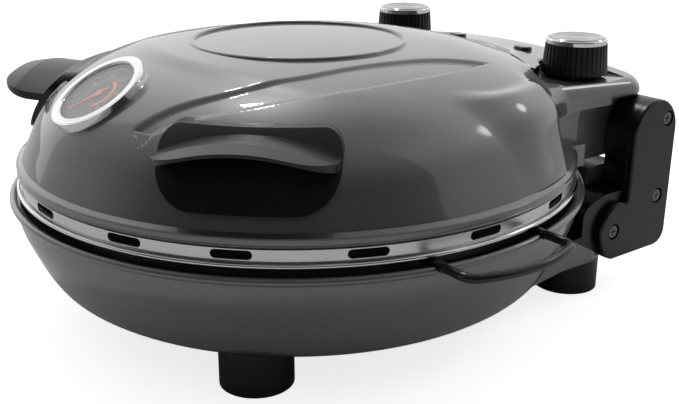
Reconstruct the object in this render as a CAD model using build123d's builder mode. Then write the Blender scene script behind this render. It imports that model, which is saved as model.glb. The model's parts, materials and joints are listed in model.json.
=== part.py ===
from build123d import *
import math
import os

os.makedirs("parts", exist_ok=True)

# An electric pizza maker: a round bowl on four feet that holds a baking stone in a lift-out pan,
# and a domed lid with a flat rear deck that swings up between two side arms.
# +Z is up, the front (thermometer side) faces -Y, and the floor is Z = 0.
# All lengths are in millimetres.

# ---- driving dimensions -------------------------------------------------
LIP_R = 169.5            # outer radius of the bowl's rolled lip
ARM_REAR = 197.5         # the arms' rear faces, behind the cooking axis
AXIS_Y = (LIP_R - ARM_REAR) / 2   # places the cooking axis so that the origin is central

SHEET = 1.5              # painted sheet of lid and bowl
THIN = 0.8               # stainless sheet
FIT = 0.05               # radial running clearance of a shaft or pin

# bowl
BOWL_BOTTOM = 21.0
LIP_Z = 74.0             # centre of the rolled lip
LIP_ROLL = 2.0
TAIL_HALF = 123.5        # half width of the bowl's rear extension
TAIL_REAR = 152.0
TAIL_TOP = 61.0
TAIL_SIDE_TOP = 39.5     # the extension's sides stop here, in front of the hinge blocks
TAIL_WEDGE = [(135.0, 18.5), (TAIL_HALF, 104.0)]   # sides running from the round bowl to the extension
LINER_FLOOR = 27.0

# lid
LID_BOTTOM = 89.0        # lower edge of the painted lid
SKIRT_BOTTOM = 81.0      # lower edge of the deck's skirt
DECK_HALF = 111.0
DECK_REAR = 190.0
DECK_CORNER = 20.0
DECK_ROUND = 9.0         # rounding of the deck's upper edge
HOOD = [(126.0, 4.0), (133.5, 34.0), (124.5, 74.0), (DECK_HALF, 112.0)]
CROWN_TOP = 137.0        # deck's height on the centre line at CROWN_Y
CROWN_SIDE = 128.5       # deck's height at its side edges
CROWN_Y = 150.0
CROWN_TILT = 4.0         # degrees that the deck falls towards the rear
POCKET_X = 103.0         # flat sides of the lid between the arms
POCKET_TOP = 118.5
POCKET_FRONT = 78.0      # where the pockets beside the deck begin
POCKET_ROUND = 18.0
POCKET_LEDGE = 94.5      # the rim's border runs on under the pockets
BADGE_R = 62.0           # embossed ring on top of the lid
FLUTE_DEPTH = 2.0        # sunk flutes that sweep from the thermometer to the deck
FLUTE_INNER = [(47, -130.5), (53, -112), (63, -90), (69, -70), (73, -50), (74, -25), (76, 5), (79, 32),
               (89, 70)]
FLUTE_OUTER = [(60, -125.5), (68, -112), (77, -98), (86, -81), (93, -63), (99, -44), (103, -10), (102, 18),
               (89, 70)]

# hinge
PIVOT_Y = 177.5
PIVOT_Z = 97.0
PIN_R = 4.0
PIN_INNER_X = 88.0

# arms
ARM_INNER_X = 104.2
ARM_SPLIT_X = 121.0
ARM_OUTER_X = 125.5
ARM_FRONT = 157.5
ARM_BOTTOM = 20.5
BASE_BLOCK_TOP = 63.0
BLOCK_FRONT = 121.0
BLOCK_INNER_X = 96.0
ARM_SCREWS = [(188.0, 104.0), (185.5, 54.5), (145.5, 39.0)]
EAR_X = 90.0             # painted lugs of the bowl beside the hinge
EAR_W = 13.0
GLAND_X = -60.0
GLAND_Z = 45.0
GLAND_R = 6.0

# controls
KNOB_X = 80.7
KNOB_Y = 150.4
KNOB_BOTTOM = 130.4
KNOB_R = 20.0
KNOB_BODY_H = 18.0
KNOB_CAP_R = 18.3
KNOB_CAP_H = 3.0
KNOB_FLUTES = 36
SHELF_Z = 128.0          # flat pads under the knobs
SHAFT_R = 3.0
SHAFT_BOTTOM = 112.0
CONTROL_R = 17.0
LIGHT_X = 30.9
LIGHT_Y = 157.4
LIGHT_Z = 136.6

# thermometer
GAUGE_Y = -125.7
GAUGE_Z = 140.0
GAUGE_TILT = 31.6        # degrees that its face leans forwards
GAUGE_R = 27.1
GLASS_R = 22.0
GAUGE_CUP_R = 24.0
DIAL_LEVEL = -1.6        # the dial's face, below the gauge's reference plane
NEEDLE_SHAFT_R = 1.2
NEEDLE_REST = 150        # degrees from the dial's upper end to the needle as photographed

# side handles
HANDLE_AZ = 46.0         # degrees from the front
HANDLE_REACH = 171.5
HANDLE_PLATE = 3.0       # thickness of the plate that hugs the dome
PLATE_W = 87.0
PLATE_BOTTOM = 102.5
PLATE_TOP = 137.5
VISOR_HALF = 43.0
VISOR_CORNER = 21.0
VISOR_ROOT = 118.0       # where the visor starts, behind the plate
VISOR_Z = 132.8          # top of the visor's arch at its root
VISOR_DROP = 8.8         # how far the arch falls to its ends
VISOR_RISE = 5.0         # degrees that the visor rises outwards
VISOR_T = 4.2
VISOR_BAND = 160.0       # beyond this the visor's top slopes down again
HANDLE_SCREWS = [(-26, 112), (26, 112)]

# pan, stone and heaters
STONE_R = 150.0
STONE_BOTTOM = 54.0
STONE_H = 12.0
WIRE_R = 2.4
WIRE_Z = 76.0
WIRE_REACH = 192.0
WIRE_ENDS = 184.0        # reach of the loop at its two corners
WIRE_HALF = 35.0
WIRE_INNER = 145.0
HEATER_R = 3.3
HEATER_LOOP_R = 105.0
HEATER_LEG = 14.0
LOWER_HEATER_Z = 40.0
UPPER_HEATER_Z = 100.0

# feet
FOOT_R = 19.5
FEET = {"front_right_foot": (88.0, -89.0), "front_left_foot": (-88.0, -89.0),
        "rear_right_foot": (100.0, 134.0), "rear_left_foot": (-100.0, 134.0)}
FOOT_SPOTS = list(FEET.values())

# vent ring and bead
HEM_R = 161.0            # inner radius of the lid's lower border
RING_R = 162.5
SLOT_H = 4.6
SLOT_ANGLE = 7.0         # degrees round the ring that one slot takes
SLOT_ANGLES = [-20.0, 2.3, 24.6] + [44.2 + 22.3 * n for n in range(13)]
BEAD_R = 163.9
BEAD_ROLL = 1.2
BEAD_Z = 80.0

# wells under the knobs
WELL_PLAN = [(61.5, 143.0), (86.5, 104.5), (102.0, 101.0), (107.0, 112.0), (107.0, 171.0), (81.0, 171.0)]
WELL_ROUND = 4.0

cooking_axis = Axis((0, AXIS_Y, 0), (0, 0, 1))
section = Plane(origin=(0, AXIS_Y, 0), x_dir=(1, 0, 0), z_dir=(0, -1, 0))
MIRROR = Plane.YZ


def level(height):
    """Horizontal sketch plane centred on the cooking axis."""
    return Plane(origin=(0, AXIS_Y, height), x_dir=(1, 0, 0), z_dir=(0, 0, 1))


def side(distance):
    """Upright sketch plane facing +X; its axes are depth behind the cooking axis, and height."""
    return Plane(origin=(distance, AXIS_Y, 0), x_dir=(0, 1, 0), z_dir=(1, 0, 0))


def save(piece, name):
    piece.label = name
    export_step(piece, f"parts/{name}.step")


def save_pair(piece, name):
    """Writes a right-hand piece and its mirror image."""
    save(piece, f"right_{name}")
    save(mirror(piece, about=MIRROR), f"left_{name}")


def across(depth, height=0):
    """Upright sketch plane facing the front at a depth behind the cooking axis."""
    return Plane(origin=(0, AXIS_Y + depth, height), x_dir=(1, 0, 0), z_dir=(0, -1, 0))


def turned(outline):
    """Solid of revolution about the cooking axis from (radius, height) points."""
    outline = [point for n, point in enumerate(outline) if point != outline[n - 1]]
    with BuildPart() as body:
        with BuildSketch(section):
            with BuildLine():
                Polyline(*outline, close=True)
            make_face()
        revolve(axis=cooking_axis)
    return body.part


# ---- lid shell ----------------------------------------------------------
DOME = [(0, 155.2), (66, 153.6), (87, 151.6), (106, 147.6), (125, 139.8), (140, 129.6),
        (149.5, 118.0), (155.5, 106.0), (160.5, 95.0)]
BORDER_R = 163.6


def dome_solid(inset):
    """The round dome filled down to the skirt; inset draws its surface in."""
    top = [(r - inset * min(1, r / 130), z - inset * min(1, (180 - r) / 70)) for r, z in DOME]
    top[0] = (0, DOME[0][1] - inset)
    rim = BORDER_R - inset
    floor = LID_BOTTOM if inset == 0 else SKIRT_BOTTOM - 2
    with BuildPart() as dome:
        with BuildSketch(section):
            with BuildLine():
                crown = Spline(*top, tangents=[(1, 0), (0.4, -1)])
                Polyline(crown @ 1, (rim, 93.4), (rim, floor), (0, floor), (0, top[0][1]))
            make_face()
        revolve(axis=cooking_axis)
    return dome.part


def crown_drop(x):
    """How far the deck's crown has fallen at a distance from the centre line."""
    drop = CROWN_TOP - CROWN_SIDE
    radius = (DECK_HALF ** 2 + drop ** 2) / (2 * drop)
    return radius - math.sqrt(radius ** 2 - x ** 2)


def deck_solid(inset):
    """The deck behind the dome; its top is crowned from side to side and falls to the rear."""
    half = DECK_HALF - inset
    rear = DECK_REAR - inset
    floor = SKIRT_BOTTOM if inset == 0 else SKIRT_BOTTOM - 2
    hood = [(x - inset, y) for x, y in HOOD]
    with BuildPart() as deck:
        with BuildSketch(level(floor)):
            with BuildLine():
                Spline(*hood, tangents=[(0.4, 0.9), (0, 1)])
                Line(hood[-1], (half, rear - DECK_CORNER))
                CenterArc((half - DECK_CORNER, rear - DECK_CORNER), DECK_CORNER, 0, 90)
                Line((half - DECK_CORNER, rear), (0, rear))
                Line((0, rear), (0, hood[0][1]))
                Line((0, hood[0][1]), hood[0])
            make_face()
            mirror(about=Plane.YZ)
        extrude(amount=165 - floor)
        crown_plane = Plane(origin=(0, AXIS_Y + CROWN_Y, CROWN_TOP - inset), x_dir=(1, 0, 0),
                            z_dir=(0, -1, 0)).rotated((-CROWN_TILT, 0, 0))
        with BuildSketch(crown_plane):
            with BuildLine():
                ThreePointArc((-150, -crown_drop(150)), (0, 0), (150, -crown_drop(150)))
                Polyline((150, -crown_drop(150)), (150, 80), (-150, 80), (-150, -crown_drop(150)))
            make_face()
        extrude(amount=200, both=True, mode=Mode.SUBTRACT)
        front = AXIS_Y + HOOD[0][1] + 1
        top_edges = deck.faces().sort_by(Axis.Z)[-1].edges().filter_by(lambda e: e.center().Y > front)
        fillet(top_edges, DECK_ROUND - inset)
    return deck.part


def pocket(inset):
    """Cutter for the pocket beside the deck that leaves room for the right arm."""
    front = POCKET_FRONT - inset
    ledge = POCKET_LEDGE - inset
    top = POCKET_TOP + inset
    with BuildPart() as room:
        with BuildSketch(side(POCKET_X - inset)):
            with BuildLine():
                Polyline((front, top - POCKET_ROUND), (front, ledge), (PIVOT_Y - 48, ledge),
                         (PIVOT_Y - 48, 60), (240, 60), (240, top), (front + POCKET_ROUND + 10, top))
                Spline((front + POCKET_ROUND + 10, top), (front, top - POCKET_ROUND),
                       tangents=[(-1, 0), (0, -1)])
            make_face()
        extrude(amount=80)
    return room.part


def lid_form(inset):
    """Dome and deck together, with the pockets for the arms taken out."""
    with BuildPart() as form:
        add(dome_solid(inset))
        add(deck_solid(inset))
        add(pocket(inset), mode=Mode.SUBTRACT)
        add(mirror(pocket(inset), about=MIRROR), mode=Mode.SUBTRACT)
    return form.part


def flute(grow, hand):
    """Column over the plan of one flute, widened to both sides by grow."""
    inner_edge = [(hand * (x - grow), y) for x, y in FLUTE_INNER]
    outer_edge = [(hand * (x + grow), y) for x, y in FLUTE_OUTER]
    with BuildPart() as column:
        with BuildSketch(level(100)):
            with BuildLine():
                Spline(*inner_edge)
                Spline(*outer_edge)
                Line(inner_edge[0], outer_edge[0])
                if grow:
                    Line(inner_edge[-1], outer_edge[-1])
            make_face()
        extrude(amount=70)
    return column.part


def with_flutes(inset):
    """The lid's form with both flutes sunk in it."""
    form = lid_form(inset)
    floor = lid_form(inset + FLUTE_DEPTH)
    for hand in (1, -1):
        form = form - ((flute(inset, hand) & form) - floor)
    return form


def clear_of_rim(top):
    """Cylinder that keeps deck parts out of the vent ring and bead, up to a height."""
    return turned([(0, 60), (BEAD_R + BEAD_ROLL + 0.2, 60), (BEAD_R + BEAD_ROLL + 0.2, top), (0, top)])


def tilted(height):
    """Sketch plane parallel to the thermometer's face."""
    lean = math.radians(GAUGE_TILT)
    face = Plane(origin=(0, AXIS_Y + GAUGE_Y, GAUGE_Z), x_dir=(1, 0, 0),
                 z_dir=(0, -math.sin(lean), math.cos(lean)))
    return face.offset(height)


def outward(distance):
    """Upright plane across the right handle's reach: x along the handle, y up."""
    turn = math.radians(HANDLE_AZ)
    out = Vector(math.sin(turn), -math.cos(turn), 0)
    along = Vector(math.cos(turn), math.sin(turn), 0)
    return Plane(origin=Vector(0, AXIS_Y, 0) + out * distance, x_dir=along, z_dir=out)


def handle_plan(height):
    """Level plane turned to the right handle: x along the handle, -y outwards."""
    turn = math.radians(HANDLE_AZ)
    return Plane(origin=(0, AXIS_Y, height), x_dir=(math.cos(turn), math.sin(turn), 0), z_dir=(0, 0, 1))


knob_spots = [(KNOB_X, KNOB_Y), (-KNOB_X, KNOB_Y)]
light_spots = [(LIGHT_X, LIGHT_Y), (-LIGHT_X, LIGHT_Y)]
lid_outer = with_flutes(0)
lid_inner = with_flutes(SHEET)

# knob wells: flat pads sunk in the crowned deck
with BuildSketch() as well_plan:
    with BuildLine():
        Polyline(*WELL_PLAN, close=True)
    make_face()
    fillet(well_plan.vertices(), WELL_ROUND)
    with Locations((KNOB_X, KNOB_Y)):
        Circle(KNOB_R + 2)
    mirror(about=Plane.YZ)

with BuildPart() as well_blocks:
    with BuildSketch(level(SHELF_Z - SHEET)):
        add(offset(well_plan.sketch, SHEET, kind=Kind.INTERSECTION))
    extrude(amount=25)
    add(lid_outer, mode=Mode.INTERSECT)

with BuildPart() as lid_shell:
    add(lid_outer)
    add(lid_inner, mode=Mode.SUBTRACT)
    add(turned([(HEM_R, LID_BOTTOM), (BORDER_R - 1, LID_BOTTOM), (BORDER_R - 1, 93.4), (HEM_R, 93.4)]))
    add(well_blocks.part)
    with BuildSketch(level(SHELF_Z)):
        add(well_plan.sketch)
    extrude(amount=25, mode=Mode.SUBTRACT)
    # embossed ring on top
    with BuildSketch(level(DOME[0][1] - 2.5)):
        Circle(BADGE_R + 1.3)
        Circle(BADGE_R - 1.3, mode=Mode.SUBTRACT)
    extrude(amount=2.3)
    # shaft and lamp holes
    with BuildSketch(level(SHELF_Z - 10)):
        with Locations(*knob_spots):
            Circle(SHAFT_R + 1)
        with Locations(*light_spots):
            SlotOverall(11, 7)
    extrude(amount=40, mode=Mode.SUBTRACT)
    with BuildSketch(tilted(-14)):
        Circle(GAUGE_CUP_R)
    extrude(amount=30, mode=Mode.SUBTRACT)
    # hinge pin holes
    for hand in (1, -1):
        with BuildSketch(side(hand * (POCKET_X - 8))):
            with Locations((PIVOT_Y, PIVOT_Z)):
                Circle(PIN_R + FIT)
        extrude(amount=hand * 12, mode=Mode.SUBTRACT)
    add(clear_of_rim(LID_BOTTOM), mode=Mode.SUBTRACT)

# ---- vent ring and bead -------------------------------------------------
with BuildPart() as vent_ring:
    add(turned([(RING_R, 82.0), (RING_R, 87.6), (HEM_R, 88.2), (HEM_R, 93.0), (HEM_R - THIN, 93.0),
                (HEM_R - THIN, 87.4), (RING_R - THIN, 86.8), (RING_R - THIN, 82.8),
                (HEM_R - THIN, 82.2), (HEM_R - THIN, 79.2), (HEM_R, 79.2), (HEM_R, 81.4)]))
    for angle in SLOT_ANGLES:
        turn = math.radians(angle)
        slot_plane = Plane(origin=(0, AXIS_Y, (82.0 + 87.6) / 2),
                           x_dir=(math.cos(turn), math.sin(turn), 0),
                           z_dir=(math.sin(turn), -math.cos(turn), 0))
        with BuildSketch(slot_plane.offset(RING_R - 6)):
            SlotOverall(RING_R * math.radians(SLOT_ANGLE), SLOT_H)
        extrude(amount=10, mode=Mode.SUBTRACT)
save(vent_ring.part, "vent_ring")

with BuildPart() as rim_bead:
    with BuildSketch(section):
        with Locations((BEAD_R, BEAD_Z)):
            Circle(BEAD_ROLL)
        with Locations(((HEM_R + BEAD_R) / 2, BEAD_Z)):
            Rectangle(BEAD_R - HEM_R, 1.0)
    revolve(axis=cooking_axis)
save(rim_bead.part, "rim_bead")


# ---- handles ------------------------------------------------------------
def handle_screw():
    """Two screws through the shell into the right handle, heads inside the lid."""
    with BuildPart() as screws:
        with BuildSketch(outward(144)):
            with Locations(*HANDLE_SCREWS):
                Circle(3.6)
        extrude(amount=20)
        add(lid_inner, mode=Mode.INTERSECT)
        with BuildPart(mode=Mode.PRIVATE) as shanks:
            with BuildSketch(outward(145)):
                with Locations(*HANDLE_SCREWS):
                    Circle(2.0)
            extrude(amount=20)
            add(dome_solid(-HANDLE_PLATE + 1), mode=Mode.INTERSECT)
        add(shanks.part)
    return screws.part


def arch_drop(t):
    """How far the visor's arch has fallen at a distance along the handle."""
    radius = (VISOR_HALF ** 2 + VISOR_DROP ** 2) / (2 * VISOR_DROP)
    return radius - math.sqrt(radius ** 2 - t ** 2)


def visor_solid():
    """The right handle's visor: an arch that rises outwards, with a sloping outer band."""
    turn, rise = math.radians(HANDLE_AZ), math.radians(VISOR_RISE)
    upwards = (math.sin(turn) * math.cos(rise), -math.cos(turn) * math.cos(rise), math.sin(rise))
    downwards = (math.sin(turn), -math.cos(turn), -math.tan(rise + math.radians(3)))
    band_z = VISOR_Z + (VISOR_BAND - VISOR_ROOT) * math.tan(rise)
    end = VISOR_HALF + 4
    with BuildPart() as visor:
        with BuildSketch(outward(VISOR_ROOT)):
            with BuildLine():
                ThreePointArc((-end, VISOR_Z - arch_drop(end)), (0, VISOR_Z), (end, VISOR_Z - arch_drop(end)))
                Line((end, VISOR_Z - arch_drop(end)), (end, VISOR_Z - arch_drop(end) - VISOR_T))
                ThreePointArc((end, VISOR_Z - arch_drop(end) - VISOR_T), (0, VISOR_Z - VISOR_T),
                              (-end, VISOR_Z - arch_drop(end) - VISOR_T))
                Line((-end, VISOR_Z - arch_drop(end) - VISOR_T), (-end, VISOR_Z - arch_drop(end)))
            make_face()
        extrude(amount=70, dir=upwards)
        with BuildSketch(outward(VISOR_BAND)):
            with BuildLine():
                ThreePointArc((-end, band_z - arch_drop(end)), (0, band_z), (end, band_z - arch_drop(end)))
                Polyline((end, band_z - arch_drop(end)), (end, band_z + 20), (-end, band_z + 20),
                         (-end, band_z - arch_drop(end)))
            make_face()
        extrude(amount=30, dir=downwards, mode=Mode.SUBTRACT)
        with BuildSketch(handle_plan(90)):
            with Locations((0, 50 - HANDLE_REACH)):
                RectangleRounded(2 * VISOR_HALF, 100, VISOR_CORNER)
        extrude(amount=70, mode=Mode.INTERSECT)
    return visor.part


with BuildPart() as right_handle:
    # plate hugging the dome
    with BuildSketch(outward(100)) as plate:
        with Locations((0, (PLATE_BOTTOM + PLATE_TOP) / 2)):
            Rectangle(PLATE_W, PLATE_TOP - PLATE_BOTTOM)
        fillet(plate.vertices().sort_by(Axis.Y)[:2], 19)
        fillet(plate.vertices().sort_by(Axis.Y)[-2:], 10)
    extrude(amount=80)
    add(dome_solid(-HANDLE_PLATE), mode=Mode.INTERSECT)
    add(visor_solid())
    add(lid_outer, mode=Mode.SUBTRACT)
    add(handle_screw(), mode=Mode.SUBTRACT)
save_pair(right_handle.part, "handle")
right_screws = handle_screw()
left_screws = mirror(right_screws, about=MIRROR)
save(Compound(children=list(right_screws.solids()) + list(left_screws.solids())), "handle_screws")
lid_shell.part = lid_shell.part - right_screws - left_screws
save(lid_shell.part, "lid_shell")

# ---- thermometer --------------------------------------------------------
with BuildPart() as gauge_bezel:
    with BuildSketch(tilted(-8)):
        Circle(GAUGE_R)
        Circle(GLASS_R, mode=Mode.SUBTRACT)
    extrude(amount=9.8)
    fillet(gauge_bezel.edges().sort_by(Axis.Z)[-1], 0.6)
    with BuildSketch(tilted(-9)):
        Circle(GAUGE_R + 2)
    extrude(amount=9 - 6.2, mode=Mode.SUBTRACT)
    add(lid_outer, mode=Mode.SUBTRACT)
    with BuildSketch(tilted(-8)):
        Circle(GAUGE_CUP_R)
        Circle(GLASS_R, mode=Mode.SUBTRACT)
    extrude(amount=9)
save(gauge_bezel.part, "gauge_bezel")

with BuildPart() as gauge_glass:
    with BuildSketch(tilted(0.1)):
        Circle(GLASS_R)
    extrude(amount=1.0)
save(gauge_glass.part, "gauge_glass")

with BuildPart() as gauge_dial:
    with BuildSketch(tilted(DIAL_LEVEL - 0.8)):
        Circle(GLASS_R)
        Circle(NEEDLE_SHAFT_R + FIT, mode=Mode.SUBTRACT)
    extrude(amount=0.8)
save(gauge_dial.part, "gauge_dial")

with BuildPart() as gauge_housing:
    with BuildSketch(tilted(-12)):
        Circle(GAUGE_CUP_R)
    extrude(amount=12 + DIAL_LEVEL - 0.8)
    with BuildSketch(tilted(-9)):
        Circle(GLASS_R - 2)
    extrude(amount=9, mode=Mode.SUBTRACT)
    with BuildSketch(tilted(-8)):
        Circle(GAUGE_CUP_R + 1)
        Circle(GLASS_R, mode=Mode.SUBTRACT)
    extrude(amount=9, mode=Mode.SUBTRACT)
    # probe reaching through the liner
    with BuildSketch(tilted(-32)):
        Circle(2)
    extrude(amount=21)
save(gauge_housing.part, "gauge_housing")

with BuildPart() as gauge_needle:
    with BuildSketch(tilted(DIAL_LEVEL + 0.4)):
        Circle(2.6)
        with BuildLine():
            Polyline((-1.1, -6), (1.1, -6), (0.35, 18), (-0.35, 18), close=True)
        make_face()
    extrude(amount=0.5)
    with BuildSketch(tilted(DIAL_LEVEL - 4)):
        Circle(NEEDLE_SHAFT_R)
    extrude(amount=4.6)
needle = gauge_needle.part.rotate(Axis(tilted(0).origin, tilted(0).z_dir), NEEDLE_REST)
save(needle, "gauge_needle")


# ---- knobs --------------------------------------------------------------
def control(x, y, name, body_name):
    """A knob with its cap and shaft, and the switch body that the shaft turns in."""
    spot = Location((x, AXIS_Y + y, 0))
    with BuildPart() as grip:
        with BuildSketch(Plane.XZ):
            with BuildLine():
                Polyline((0, KNOB_BOTTOM), (KNOB_R, KNOB_BOTTOM), (KNOB_R - 1.4, KNOB_BOTTOM + KNOB_BODY_H),
                         (0, KNOB_BOTTOM + KNOB_BODY_H), close=True)
            make_face()
        revolve(axis=Axis.Z)
        with Locations((0, 0, KNOB_BOTTOM + KNOB_BODY_H / 2)):
            with PolarLocations(KNOB_R - 0.3, KNOB_FLUTES):
                Cylinder(0.9, 30, rotation=(0, -5.5, 0), mode=Mode.SUBTRACT)
        with BuildSketch(Plane.XY.offset(KNOB_BOTTOM)):
            Circle(SHAFT_R)
        extrude(amount=10, mode=Mode.SUBTRACT)
    with BuildPart() as cap:
        with BuildSketch(Plane.XY.offset(KNOB_BOTTOM + KNOB_BODY_H)):
            Circle(KNOB_CAP_R)
        extrude(amount=KNOB_CAP_H)
        fillet(cap.edges().sort_by(Axis.Z)[-1], 1.0)
        with BuildSketch(Plane.XY.offset(KNOB_BOTTOM + KNOB_BODY_H + KNOB_CAP_H - 0.8)):
            with Locations((0, -KNOB_CAP_R + 5)):
                SlotOverall(7, 1.8, rotation=90)
        extrude(amount=2, mode=Mode.SUBTRACT)
    with BuildPart() as shaft:
        with BuildSketch(Plane.XY.offset(SHAFT_BOTTOM + 2)):
            Circle(SHAFT_R)
        extrude(amount=KNOB_BOTTOM + 10 - SHAFT_BOTTOM - 2)
    with BuildPart() as switch:
        with BuildSketch(Plane.XY.offset(SHAFT_BOTTOM)):
            Circle(CONTROL_R)
        extrude(amount=SHELF_Z - SHEET - SHAFT_BOTTOM)
        with BuildSketch(Plane.XY.offset(SHAFT_BOTTOM + 1.5)):
            Circle(SHAFT_R + FIT)
        extrude(amount=30, mode=Mode.SUBTRACT)
    save(grip.part.moved(spot), f"{name}_knob")
    save(cap.part.moved(spot), f"{name}_cap")
    save(shaft.part.moved(spot), f"{name}_shaft")
    save(switch.part.moved(spot), body_name)


control(KNOB_X, KNOB_Y, "timer", "timer_body")
control(-KNOB_X, KNOB_Y, "thermostat", "thermostat_body")

# ---- indicator lights ---------------------------------------------------
with BuildPart() as right_light:
    with BuildSketch(level(LIGHT_Z - 3)):
        with Locations((LIGHT_X, LIGHT_Y)):
            SlotOverall(13, 9)
    extrude(amount=4.6)
    fillet(right_light.edges().group_by(Axis.Z)[-1], 1.2)
    add(lid_outer, mode=Mode.SUBTRACT)
    with BuildSketch(level(LIGHT_Z - 8)):
        with Locations((LIGHT_X, LIGHT_Y)):
            SlotOverall(11, 7)
    extrude(amount=9.5)
save_pair(right_light.part, "light")

# ---- inside the lid -----------------------------------------------------
with BuildPart() as hinge_bush:
    with BuildSketch(side(PIN_INNER_X + 1)):
        with Locations((PIVOT_Y, PIVOT_Z)):
            Circle(6.5)
    extrude(amount=30)
    add(lid_inner, mode=Mode.INTERSECT)
    with BuildSketch(side(PIN_INNER_X)):
        with Locations((PIVOT_Y, PIVOT_Z)):
            Circle(PIN_R + FIT)
    extrude(amount=40, mode=Mode.SUBTRACT)
save_pair(hinge_bush.part, "hinge_bush")

with BuildPart() as deck_cover:
    with BuildSketch(level(83.0)):
        with Locations((0, 150)):
            Rectangle(230, 90)
    extrude(amount=1.2)
    add(lid_inner, mode=Mode.INTERSECT)
    add(clear_of_rim(90), mode=Mode.SUBTRACT)
save(deck_cover.part.solids().sort_by(SortBy.VOLUME)[-1], "deck_cover")


def offset_line(points, distance):
    """Points moved sideways by a distance, for the inner face of a sheet part."""
    moved = []
    for n, (r, z) in enumerate(points):
        before = points[max(n - 1, 0)]
        after = points[min(n + 1, len(points) - 1)]
        dr, dz = after[0] - before[0], after[1] - before[1]
        size = math.hypot(dr, dz)
        moved.append((r - distance * dz / size, z + distance * dr / size))
    return moved


def turned_sheet(points, thickness):
    """Revolved sheet whose one face follows the points, thickened to their left."""
    inner = offset_line(points, thickness)
    return turned([(max(r, 0), z) for r, z in points + inner[::-1]])


def rod(points, radius):
    """Straight round bars through the points, with a ball at every bend."""
    with BuildPart() as bar:
        for n in range(len(points) - 1):
            start, end = Vector(*points[n]), Vector(*points[n + 1])
            with BuildSketch(Plane(origin=start, z_dir=end - start)):
                Circle(radius)
            extrude(amount=(end - start).length)
        for point in points[1:-1]:
            with Locations(point):
                Sphere(radius)
    return bar.part


def heater(height, reach):
    """One heating element: a round loop whose two ends run out to the rear."""
    gap = math.degrees(math.asin(HEATER_LEG / HEATER_LOOP_R))
    with BuildPart() as tube:
        with BuildSketch(section):
            with Locations((HEATER_LOOP_R, height)):
                Circle(HEATER_R)
        revolve(axis=cooking_axis, revolution_arc=360 - 2 * gap)
    loop = tube.part.rotate(cooking_axis, 90 + gap)
    rear = HEATER_LOOP_R * math.cos(math.radians(gap))
    legs = [rod([(hand * HEATER_LEG, AXIS_Y + rear, height), (hand * HEATER_LEG, AXIS_Y + reach, height)],
                HEATER_R) for hand in (1, -1)]
    with BuildPart() as element:
        add(loop)
        add(legs)
        with Locations(*[(hand * HEATER_LEG, AXIS_Y + rear, height) for hand in (1, -1)]):
            Sphere(HEATER_R)
    return element.part


upper_heater = heater(UPPER_HEATER_Z, 152)
save(upper_heater, "upper_element")
lower_heater = heater(LOWER_HEATER_Z, 148)
save(lower_heater, "lower_element")

LINER = [(0, 143), (70, 141), (100, 134), (120, 121), (134, 107), (141, 96), (142, 91.5)]
with BuildPart() as lid_liner:
    add(turned_sheet(LINER, -THIN))
    add(turned([(141.2, 91.5), (HEM_R - THIN, 91.5), (HEM_R - THIN, 90.7), (141.2, 90.7)]))
    add([pocket(2 * SHEET), mirror(pocket(2 * SHEET), about=MIRROR)], mode=Mode.SUBTRACT)
    with BuildSketch(tilted(-40)):
        Circle(3)
    extrude(amount=40, mode=Mode.SUBTRACT)
    with BuildSketch(across(120, UPPER_HEATER_Z)):
        with Locations((HEATER_LEG, 0), (-HEATER_LEG, 0)):
            Circle(HEATER_R + 0.2)
    extrude(amount=-40, mode=Mode.SUBTRACT)
save(lid_liner.part, "lid_liner")

lid_room = turned([(0, LINER[0][1] - THIN), *offset_line(LINER, -THIN)[1:], (0, 91.5)])
with BuildPart() as upper_clips:
    with BuildSketch(level(UPPER_HEATER_Z - 5)):
        with PolarLocations(HEATER_LOOP_R, 3, start_angle=10):
            Rectangle(9, 5)
    extrude(amount=45)
    add(lid_room, mode=Mode.INTERSECT)
    add(upper_heater, mode=Mode.SUBTRACT)
save(upper_clips.part, "upper_clips")

# ---- bowl ---------------------------------------------------------------
BOWL = [(166.2, 71.2), (164.6, 60), (161.6, 52), (158.6, 45), (155.4, 38), (151.9, 32), (148, 27),
        (143.4, 23.5), (136.5, BOWL_BOTTOM)]


def bowl_solid(inset):
    """The bowl filled up to just under its lip; the inner form runs on upwards."""
    wall = BOWL if inset == 0 else offset_line(BOWL, -inset)
    top = wall[0][1] if inset == 0 else 80
    with BuildPart() as bowl:
        with BuildSketch(section):
            with BuildLine():
                curve = Spline(*wall, tangents=[(0, -1), (-1, -0.2)])
                Polyline(curve @ 1, (0, wall[-1][1]), (0, top), (wall[0][0], top))
                if inset:
                    Line((wall[0][0], top), wall[0])
            make_face()
        revolve(axis=cooking_axis)
    return bowl.part


def tail_solid(inset):
    """The bowl's extension behind, low at its sides where the hinge blocks stand on it."""
    half, rear = TAIL_HALF - inset, TAIL_REAR - inset
    start, end = [(x - inset, y) for x, y in TAIL_WEDGE]
    with BuildPart() as tail:
        with BuildSketch(level(BOWL_BOTTOM + inset)):
            with BuildLine():
                Polyline((0, start[1]), start, end, (half, rear - 25))
                CenterArc((half - 25, rear - 25), 25, 0, 90)
                Polyline((half - 25, rear), (0, rear), (0, start[1]))
            make_face()
            mirror(about=Plane.YZ)
        extrude(amount=TAIL_TOP - BOWL_BOTTOM - 2 * inset)
        fillet(tail.faces().sort_by(Axis.Z)[0].edges().filter_by(lambda e: e.center().Y > AXIS_Y + 51),
               4 - inset)
        for hand in (1, -1):
            with BuildSketch(side(hand * (BLOCK_INNER_X - inset))):
                with BuildLine():
                    Polyline((40, 90), (40, TAIL_SIDE_TOP - inset), (112, TAIL_SIDE_TOP - inset),
                             (146 - inset, ARM_BOTTOM), (146 - inset, 0), (200, 0), (200, 90), close=True)
                make_face()
            extrude(amount=hand * 60, mode=Mode.SUBTRACT)
    return tail.part


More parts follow.
